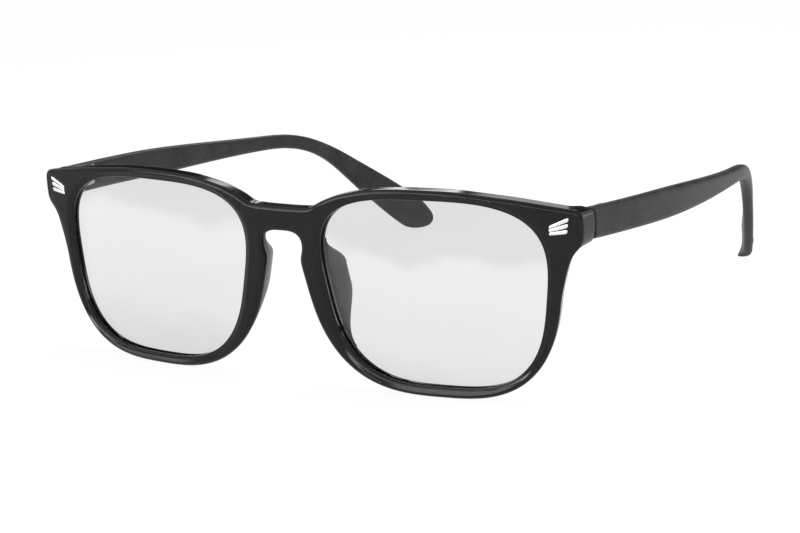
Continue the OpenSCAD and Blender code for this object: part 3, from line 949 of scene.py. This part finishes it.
def surface_life() -> NodeTree:
    """Effect group of a worn surface.

    Roughness is the given value plus the drift times a soft cloud, centred on zero. Height is a
    fine grain. Tone is the cloud and the grain together, stretched over 0 to 1.

    Returns:
        The group.
    """
    tree = bpy.data.node_groups.new("surface_life", "ShaderNodeTree")
    usual = {"Roughness": 0.2, "Drift": 0.05, "Cloud Scale": 90.0, "Grain Scale": 1500.0}
    for key, value in usual.items():
        socket = tree.interface.new_socket(name=key, in_out="INPUT", socket_type="NodeSocketFloat")
        socket.default_value = value
    for key in ("Roughness", "Height", "Tone"):
        tree.interface.new_socket(name=key, in_out="OUTPUT", socket_type="NodeSocketFloat")
    nodes = tree.nodes
    source, sink = nodes.new("NodeGroupInput"), nodes.new("NodeGroupOutput")
    place, tone = nodes.new("ShaderNodeTexCoord"), nodes.new("ShaderNodeMapRange")
    cloud, grain = nodes.new("ShaderNodeTexNoise"), nodes.new("ShaderNodeTexNoise")
    shift, spread, both = (math_node(tree, word) for word in ("SUBTRACT", "MULTIPLY_ADD", "ADD"))
    put(cloud, {"Detail": 3.0})
    put(grain, {"Detail": 2.0})
    put(shift, {1: 0.5})
    put(tone, {"From Min": 0.75, "From Max": 1.25})
    join(tree, (place, "Object", cloud, "Vector"), (place, "Object", grain, "Vector"),
         (source, "Cloud Scale", cloud, "Scale"), (source, "Grain Scale", grain, "Scale"),
         (cloud, "Fac", shift, 0), (shift, 0, spread, 0), (source, "Drift", spread, 1),
         (source, "Roughness", spread, 2), (spread, 0, sink, "Roughness"),
         (grain, "Fac", sink, "Height"), (cloud, "Fac", both, 0), (grain, "Fac", both, 1),
         (both, 0, tone, "Value"), (tone, "Result", sink, "Tone"))
    return tree


@dataclass(frozen=True)
class Finish:
    """What every finish has: a name, and a roughness that drifts in soft clouds."""

    name: str
    roughness: float
    drift: float

    def start(self, life: NodeTree, cloud_scale: float) -> Started:
        """Starts the material, its roughness taken from the shared effect group.

        Args:
            life: The effect group.
            cloud_scale: Scale of the clouds.

        Returns:
            The material, its shader and the effect's node.
        """
        mat = bpy.data.materials.new(self.name)
        mat.use_nodes = True
        nodes = mat.node_tree.nodes
        shader, effect = nodes["Principled BSDF"], nodes.new("ShaderNodeGroup")
        effect.node_tree = life
        put(effect, {"Roughness": self.roughness, "Drift": self.drift, "Cloud Scale": cloud_scale})
        join(mat.node_tree, (effect, "Roughness", shader, "Roughness"))
        return mat, shader, effect


def two_tones(mat: Material, effect: Node, dark: Triple, light: Triple) -> None:
    """Mixes a material's base colour from two by the effect's tone.

    Args:
        mat: The material.
        effect: Its effect node.
        dark: Colour at tone 0.
        light: Colour at tone 1.
    """
    nodes = mat.node_tree.nodes
    blend = nodes.new("ShaderNodeMix")
    blend.data_type = "RGBA"
    put(blend, {"A": (*dark, 1.0), "B": (*light, 1.0)})
    join(mat.node_tree, (effect, "Tone", blend, "Factor"),
         (blend, "Result", nodes["Principled BSDF"], "Base Color"))


@dataclass(frozen=True)
class Plastic(Finish):
    """Acetate or moulded plastic with drifting gloss and a fine uneven skin."""

    dark: float
    light: float
    bump: float
    specular: float
    cloud_scale: float = 90.0
    grain_scale: float = 1500.0
    skin_depth: float = 0.0001
    ior: float = 1.5

    def material(self, life: NodeTree) -> Material:
        """Builds the material round the shared effect group.

        Args:
            life: The effect group.

        Returns:
            The material.
        """
        mat, shader, effect = self.start(life, self.cloud_scale)
        bump = mat.node_tree.nodes.new("ShaderNodeBump")
        put(effect, {"Grain Scale": self.grain_scale})
        put(bump, {"Strength": self.bump, "Distance": self.skin_depth})
        put(shader, {"IOR": self.ior, "Specular IOR Level": self.specular})
        join(mat.node_tree, (effect, "Height", bump, "Height"), (bump, "Normal", shader, "Normal"))
        two_tones(mat, effect, (self.dark,) * 3, (self.light,) * 3)
        return mat


@dataclass(frozen=True)
class Metal(Finish):
    """Metal with a fine drifting gloss and a slightly cool tint."""

    dark: float
    light: float
    cloud_scale: float = 700.0

    def material(self, life: NodeTree) -> Material:
        """Builds the material round the shared effect group.

        Args:
            life: The effect group.

        Returns:
            The material.
        """
        mat, shader, effect = self.start(life, self.cloud_scale)
        put(shader, {"Metallic": 1.0})
        two_tones(mat, effect, (self.dark, self.dark, self.dark * 1.015),
                  (self.light, self.light, self.light * 1.01))
        return mat


@dataclass(frozen=True)
class ClearResin(Finish):
    """Clear resin whose base colour holds a painted reflection: soft, wavy grey bands, lightest in
    the middle.
    """

    cloud_scale: float = 60.0
    # grey levels and heights of the painted reflection bands in the lens colour
    low: float = 0.70
    middle: float = 0.83
    high: float = 0.73
    edge: float = 0.0305
    below: float = 0.0225
    above: float = 0.0275
    slant: float = 0.08
    sway: float = 0.014
    ior: float = 1.3
    gloss: float = 0.02

    def painted_reflection_bands(self, tree: NodeTree) -> Node:
        """Painted reflection bands: colours by the height above the ground, plus a slant across the
        face and a slow wave.

        Args:
            tree: The material's nodes.

        Returns:
            The ramp that gives the colours.
        """
        nodes = tree.nodes
        place, split = nodes.new("ShaderNodeTexCoord"), nodes.new("ShaderNodeSeparateXYZ")
        wave, scale = nodes.new("ShaderNodeTexNoise"), nodes.new("ShaderNodeMapRange")
        lean, sway = math_node(tree, "MULTIPLY_ADD"), math_node(tree, "MULTIPLY_ADD")
        put(wave, {"Scale": 55.0, "Detail": 2.5, "Roughness": 0.45})
        put(lean, {1: self.slant})
        put(sway, {1: self.sway})
        put(scale, {"From Min": self.edge - self.below, "From Max": self.edge + self.above})
        ramp = nodes.new("ShaderNodeValToRGB")
        ramp.color_ramp.interpolation = "EASE"
        stops = ((0.0, self.low), (0.3, self.middle - 0.03), (0.62, self.middle),
                 (0.70, self.high), (1.0, self.high))
        while len(ramp.color_ramp.elements) < len(stops):
            ramp.color_ramp.elements.new(0.5)
        for element, (spot, value) in zip(ramp.color_ramp.elements, stops):
            element.position = spot
            element.color = (value, value * 1.003, value * 1.006, 1.0)
        join(tree, (place, "Object", split, 0), (place, "Object", wave, "Vector"),
             (split, "X", lean, 0), (split, "Z", lean, 2), (wave, "Fac", sway, 0),
             (lean, 0, sway, 2), (sway, 0, scale, "Value"), (scale, "Result", ramp, "Fac"))
        return ramp

    def material(self, life: NodeTree) -> Material:
        """Builds the material: plain transmission through the painted reflection bands, with a
        faint gloss.

        Args:
            life: The effect group.

        Returns:
            The material.
        """
        mat, shader, _ = self.start(life, self.cloud_scale)
        put(shader, {"IOR": self.ior, "Transmission Weight": 1.0, "Specular IOR Level": self.gloss})
        # the painted reflection bands give the lens its base colour
        join(mat.node_tree, (self.painted_reflection_bands(mat.node_tree), "Color", shader, "Base Color"))
        return mat


def dress(piece: Object, mat: Material, other: Material | None = None) -> None:
    """Gives a piece its material.

    Args:
        piece: The piece.
        mat: Its material, for every slot that it has.
        other: A further material, for the faces numbered 1.
    """
    if not piece.material_slots:
        piece.data.materials.append(mat)
    for place in piece.material_slots:
        place.material = mat
    if other is not None:
        piece.data.materials.append(other)


# ---- camera, floor and light
def shown_or_lit(tree: NodeTree, shown: Node, lit: Node, sink: Node, share: float = 1.0) -> None:
    """Uses one shader where a ray shows the thing, and another where the thing only lights.

    Rays straight from the camera, mirrored ones and those through a lens show it.

    Args:
        tree: The node tree.
        shown: Shader for the rays that show it.
        lit: Shader for the others.
        sink: The tree's output node.
        share: Part that `shown` has where it is used.
    """
    ray, blend = (tree.nodes.new(f"ShaderNode{kind}") for kind in ("LightPath", "MixShader"))
    first, either, part = (math_node(tree, word) for word in ("MAXIMUM", "MAXIMUM", "MULTIPLY"))
    put(part, {1: share})
    join(tree, (ray, "Is Camera Ray", first, 0), (ray, "Is Glossy Ray", first, 1),
         (first, 0, either, 0), (ray, "Is Transmission Ray", either, 1), (either, 0, part, 0),
         (part, 0, blend, "Fac"), (lit, 0, blend, 1), (shown, 0, blend, 2),
         (blend, 0, sink, "Surface"))


def sheet(name: str, points: list[Triple], finish: str, grey: float) -> tuple[Object, NodeTree]:
    """One matt rectangle of the studio, apart from the glasses.

    Args:
        name: The object's name.
        points: Its corners in order.
        finish: Its material's name.
        grey: How light it is.

    Returns:
        The object and its material's nodes, with the matt shader joined to the output.
    """
    mesh = bpy.data.meshes.new(name)
    mesh.from_pydata(points, [], [(0, 1, 2, 3)])
    obj = bpy.data.objects.new(name, mesh)
    bpy.context.scene.collection.objects.link(obj)
    mat = bpy.data.materials.new(finish)
    mat.use_nodes = True
    nodes = mat.node_tree.nodes
    nodes.clear()
    matte, out = nodes.new("ShaderNodeBsdfDiffuse"), nodes.new("ShaderNodeOutputMaterial")
    put(matte, {"Color": (grey, grey, grey, 1)})
    join(mat.node_tree, (matte, 0, out, "Surface"))
    mesh.materials.append(mat)
    return obj, mat.node_tree


@dataclass(frozen=True)
class Lamp:
    """One rectangular area lamp, with places and sizes in metres and power in watts.

    Glossy surfaces show it if it is `mirrored`, and rays through a lens if it goes `through`. With
    `rims_only` it lights the front and the lenses alone.
    """

    name: str
    spot: Triple
    size: tuple[float, float]
    watts: float
    aim: Triple = (0.0, -0.05, 0.02)
    mirrored: bool = True
    through: bool = False
    rims_only: bool = False
    spread_deg: float = 180.0

    def build(self, rims: tuple[Object, ...]) -> None:
        """Hangs the lamp.

        Args:
            rims: The front and the lenses.
        """
        data = bpy.data.lights.new(self.name, "AREA")
        data.shape = "RECTANGLE"
        data.size, data.size_y = self.size
        data.energy = self.watts
        data.spread = math.radians(self.spread_deg)
        lamp = bpy.data.objects.new(self.name, data)
        lamp.location = self.spot
        lamp.visible_glossy = self.mirrored
        lamp.visible_transmission = self.through
        way = Vector(self.aim) - Vector(self.spot)
        lamp.rotation_euler = way.to_track_quat("-Z", "Y").to_euler()
        bpy.context.scene.collection.objects.link(lamp)
        if self.rims_only:
            group = bpy.data.collections.new(f"{self.name}_lights")
            for piece in rims:
                group.objects.link(piece)
            lamp.light_linking.receiver_collection = group


LAMPS = (
    Lamp("brow_strip", (-0.225, 0.34, 0.2), (0.085, 0.05), 0.055),
    Lamp("brow_low_strip", (-0.242, 0.34, 0.155), (0.035, 0.04), 0.013),
    Lamp("brow_side_strip", (-0.11, 0.34, 0.215), (0.09, 0.05), 0.023),
    Lamp("slope_strip", (-0.175, 0.34, 0.29), (0.14, 0.05), 0.095),
    Lamp("top_softbox", (0.1, 0.1, 0.8), (0.5, 0.4), 4.5, mirrored=False),
    Lamp("lip_softbox", (-0.43, -0.7, 0.38), (0.6, 0.26), 2.6),
    Lamp("high_softbox", (-0.42, -0.5, 0.6), (0.3, 0.3), 0.5),
    Lamp("ridge_strip", (-0.38, -0.69, 0.16), (0.3, 0.05), 0.8),
    Lamp("low_strip", (0.1, -0.55, 0.135), (0.5, 0.06), 0.8),
    Lamp("side_softbox", (0.24, 0.06, 0.1), (0.24, 0.08), 0.36, aim=(0.07, 0.03, 0.03),
         mirrored=False),
    Lamp("wall_softbox", (0.15, 0.17, 0.052), (0.13, 0.1), 0.0078, aim=(-0.061, -0.068, 0.015),
         through=True, rims_only=True, spread_deg=36.0),
)


@dataclass(frozen=True)
class Studio:
    """Camera at the photograph's angle, a plain pale floor, a dark card and soft lights."""

    stand: Stand
    rims: tuple[Object, ...]
    azimuth: float = 31.6287
    elevation: float = 16.6946
    roll: float = 4.5541
    distance: float = 517.1205
    lens_px: float = 2406.1256
    width_px: float = 800.0
    sensor_mm: float = 36.0
    aim_x: float = 30.8511
    aim_z: float = 5.9878
    tilt: float = 2.1913
    floor_half: float = 3.0
    floor_glow: float = 0.93

    def camera(self) -> None:
        """Puts the camera where the fitted view stands, turned into the object's frame."""
        a, e, r = (math.radians(v) for v in (self.azimuth, self.elevation, self.roll))
        back = Vector((math.sin(a) * math.cos(e), -math.cos(a) * math.cos(e), math.sin(e)))
        right = Vector((math.cos(a), math.sin(a), 0.0))
        up = back.cross(right)
        across = right * math.cos(r) - up * math.sin(r)
        over = right * math.sin(r) + up * math.cos(r)
        place = Vector((self.aim_x, 0.0, self.aim_z)) + back * self.distance
        turn = Matrix.Rotation(math.radians(self.tilt - self.stand.lean_deg), 3, "X")
        data = bpy.data.cameras.new("photo_camera")
        data.sensor_width = self.sensor_mm
        data.sensor_fit = "HORIZONTAL"
        data.lens = self.lens_px * self.sensor_mm / self.width_px
        data.clip_start = 0.01
        camera = bpy.data.objects.new("photo_camera", data)
        matrix = Matrix.Identity(4)
        for k, axis in enumerate((across, over, back)):
            matrix.col[k][:3] = turn @ axis
        offset = Vector((0.0, self.stand.mid_y, self.stand.floor_z))
        matrix.translation = (turn @ place - offset) * MM
        camera.matrix_world = matrix
        bpy.context.scene.collection.objects.link(camera)
        bpy.context.scene.camera = camera

    def floor(self) -> None:
        """A pale floor that shows white and keeps a soft shadow."""
        h = self.floor_half
        _, tree = sheet("floor", [(-h, -h, 0), (h, -h, 0), (h, h, 0), (-h, h, 0)],
                        "floor_white", 0.9)
        glow = tree.nodes.new("ShaderNodeEmission")
        put(glow, {"Color": (1, 1, 1, 1)})
        matte, out = tree.nodes["Diffuse BSDF"], tree.nodes["Material Output"]
        shown_or_lit(tree, glow, matte, out, self.floor_glow)

    def card(self) -> None:
        """A dark card out of the picture, behind and above, that only the brows' tops mirror."""
        left, right, low, high, y = -0.62, 0.12, 0.06, 0.62, 0.47
        obj, _ = sheet("dark_card", [(left, y, low), (right, y, low), (right, y, high),
                                     (left, y, high)], "card_black", 0.012)
        obj.visible_camera = obj.visible_transmission = False
        obj.visible_diffuse = obj.visible_shadow = False

    def world(self) -> None:
        """White where it is seen or reflected, and a plain soft level where it lights."""
        world = bpy.data.worlds.new("studio")
        bpy.context.scene.world = world
        world.use_nodes = True
        nodes = world.node_tree.nodes
        nodes.clear()
        out = nodes.new("ShaderNodeOutputWorld")
        lit, shown = nodes.new("ShaderNodeBackground"), nodes.new("ShaderNodeBackground")
        put(lit, {"Strength": 0.6})
        put(shown, {"Strength": 1.0})
        shown_or_lit(world.node_tree, shown, lit, out)

    def build(self) -> None:
        """Sets up camera, floor, card, world and lamps."""
        self.camera()
        self.floor()
        self.card()
        self.world()
        for lamp in LAMPS:
            lamp.build(self.rims)
        bpy.context.scene.view_settings.view_transform = "Standard"


def corners(pair: tuple[Vector, Vector]) -> list[list[float]]:
    """A box's two corners as plain lists."""
    return [[float(v) for v in corner] for corner in pair]


def main() -> None:
    """Builds every sub-assembly in order, dresses it and sets up the studio."""
    logging.basicConfig(level=logging.INFO, format="%(message)s")
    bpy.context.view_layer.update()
    shape, stand = EyeShape(), Stand()
    life = surface_life()
    polished = Plastic("front_polished_acetate", dark=0.0045, light=0.0085, roughness=0.11,
                       drift=0.05, bump=0.012, specular=0.2).material(life)
    satin = Plastic("temple_satin_acetate", dark=0.014, light=0.032, roughness=0.42, drift=0.12,
                    bump=0.25, specular=0.16, cloud_scale=140.0, grain_scale=2200.0).material(life)
    pad = Plastic("pad_acetate", dark=0.058, light=0.088, roughness=0.36, drift=0.08, bump=0.12,
                  specular=0.25).material(life)
    steel = Metal("hinge_steel", dark=0.42, light=0.6, roughness=0.32, drift=0.1).material(life)
    bright = Metal("trim_silver", dark=0.78, light=0.9, roughness=0.2, drift=0.1).material(life)
    edge = Plastic("lens_edge_black", dark=0.008, light=0.014, roughness=0.5, drift=0.08, bump=0.1,
                   specular=0.2).material(life)
    resin = ClearResin("lens_resin_painted_reflection", roughness=0.012, drift=0.02).material(life)

    rims = [Front(shape, stand).build()]
    dress(rims[0], polished)
    LOG.info("front done")
    for side in Side:
        rims.append(Lens(shape, stand).build(side))
        dress(rims[-1], resin, edge)
        dress(NosePad(shape, stand).build(side), pad)
        dress(Temple(shape, stand).build(side), satin)
        dress(Inlay(shape, stand).build(side), bright)
        for node in ("front_hinge", "temple_hinge", "hinge_screw"):
            dress(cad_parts[f"{node}_{side.word}"], steel)
        LOG.info("%s side done", side.word)
    Studio(stand, tuple(rims)).build()


if __name__ == "__main__":
    main()
